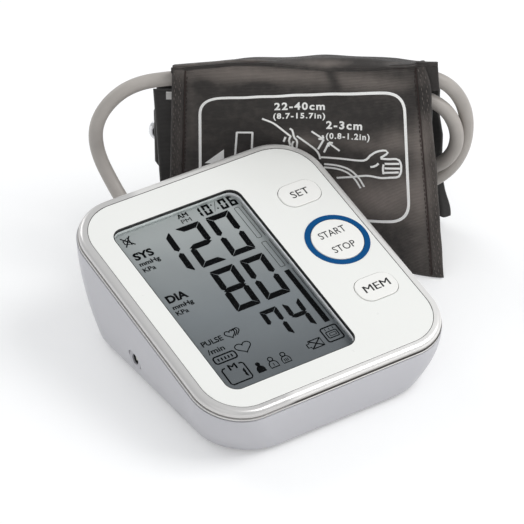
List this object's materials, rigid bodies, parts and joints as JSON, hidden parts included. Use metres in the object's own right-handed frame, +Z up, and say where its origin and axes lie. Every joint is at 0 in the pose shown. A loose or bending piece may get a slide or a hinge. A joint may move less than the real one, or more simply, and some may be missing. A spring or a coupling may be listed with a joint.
{
  "type": "upper-arm blood pressure monitor",
  "caption": "Wedge-shaped desk blood pressure monitor with a large tilted display, side keys and an air hose to a folded fabric arm cuff.",
  "frame": {"origin": "on the table, under the middle of the whole part without its hose", "axes": "+Z up, +Y from the unit's low front edge to its raised rear edge, +X to the right as the user reads the display"},
  "size_m": [0.2209, 0.2088, 0.1165],
  "materials": {
    "casing_silver": "silver-grey moulded plastic, satin",
    "panel_white": "warm white, soft gloss",
    "key_white": "warm white, soft gloss, grey lettering",
    "ring_blue": "blue, soft gloss",
    "lens_clear": "clear window",
    "display_grey": "reflective grey display with black segments",
    "inner_plastic": "plain dark grey",
    "contact_rubber": "dull black",
    "board_green": "solder-mask green",
    "switch_black": "plain black",
    "screw_steel": "zinc plated",
    "foot_rubber": "dark grey rubber",
    "cell_jacket": "printed metal jacket, plain",
    "contact_metal": "nickel plated",
    "motor_steel": "plated can",
    "tube_rubber": "translucent silicone",
    "plug_grey": "warm grey",
    "hose_grey": "warm grey, satin",
    "cuff_fabric": "charcoal nylon weave with white print",
    "bladder_rubber": "dull black",
    "bar_chrome": "bright round wire",
    "hook_black": "hook tape",
    "loop_black": "brushed loop pile",
    "tag_white": "plain white woven tag"
  },
  "bodies": {
    "unit": {"lower_case": "casing_silver", "top_case": "casing_silver", "front_panel": "panel_white", "start_ring": "ring_blue", "display_lens": "lens_clear", "display_glass": "display_grey", "display_frame": "inner_plastic", "display_contact_strip": "contact_rubber", "main_board": "board_green", "board_screws": "screw_steel", "case_screws": "screw_steel", "feet": "foot_rubber", "batteries": "cell_jacket", "contact_plates": "contact_metal", "contact_springs": "contact_metal", "set_switch": "switch_black", "start_stop_switch": "switch_black", "memory_switch": "switch_black", "pressure_sensor": "switch_black", "beeper": "switch_black", "pump_motor": "motor_steel", "pump_head": "inner_plastic", "pump_diaphragm": "contact_rubber", "pump_sleeves": "foot_rubber", "air_manifold": "inner_plastic", "pump_tube": "tube_rubber", "sensor_tube": "tube_rubber", "socket_tube": "tube_rubber", "release_valve": "motor_steel", "bleed_valve": "foot_rubber", "air_socket": "plug_grey", "adapter_socket": "switch_black", "adapter_pin": "contact_metal"},
    "set_key": {"set_button": "key_white", "set_plunger": "switch_black"},
    "start_stop_key": {"start_stop_button": "key_white", "start_stop_plunger": "switch_black"},
    "memory_key": {"memory_button": "key_white", "memory_plunger": "switch_black"},
    "door": {"battery_door": "casing_silver"},
    "rotor": {"pump_shaft": "motor_steel"},
    "valve_pin": {"release_valve_pin": "contact_metal"},
    "cuff": {"air_plug": "plug_grey", "air_hose": "hose_grey", "hose_elbow": "plug_grey", "cuff_front_flap": "cuff_fabric", "cuff_top_fold": "cuff_fabric", "cuff_back_panel": "cuff_fabric", "cuff_inner_layer": "cuff_fabric", "cuff_bladder": "bladder_rubber", "cuff_outer_layer": "cuff_fabric", "cuff_bar": "bar_chrome", "hook_patch": "hook_black", "loop_patch": "loop_black", "size_tag": "tag_white"}
  },
  "joints": [
    {"name": "set_key_press", "type": "slide", "parent": "unit", "child": "set_key", "axis": [0, 0.2453, -0.9694], "range_m": [0, 0.0006], "stiffness_N_per_m": 400, "springref_m": -0.0015},
    {"name": "start_stop_key_press", "type": "slide", "parent": "unit", "child": "start_stop_key", "axis": [0, 0.2453, -0.9694], "range_m": [0, 0.0006], "stiffness_N_per_m": 400, "springref_m": -0.0015},
    {"name": "memory_key_press", "type": "slide", "parent": "unit", "child": "memory_key", "axis": [0, 0.2453, -0.9694], "range_m": [0, 0.0006], "stiffness_N_per_m": 400, "springref_m": -0.0015},
    {"name": "battery_door_hinge", "type": "hinge", "parent": "unit", "child": "door", "pos_m": [-0.0373, -0.03779, 0.0026], "axis": [-1, 0, 0], "range_deg": [0, 75]},
    {"name": "pump_spin", "type": "hinge", "parent": "unit", "child": "rotor", "pos_m": [-0.0373, -0.05609, 0.01755], "axis": [1, 0, 0], "continuous": true},
    {"name": "release_valve_push", "type": "slide", "parent": "unit", "child": "valve_pin", "axis": [0, -1, 0], "range_m": [0, 0.001], "stiffness_N_per_m": 200, "springref_m": -0.001},
    {"name": "cuff_unplug", "type": "slide", "parent": "unit", "child": "cuff", "axis": [0, 1, 0], "range_m": [0, 0.02]}
  ]
}
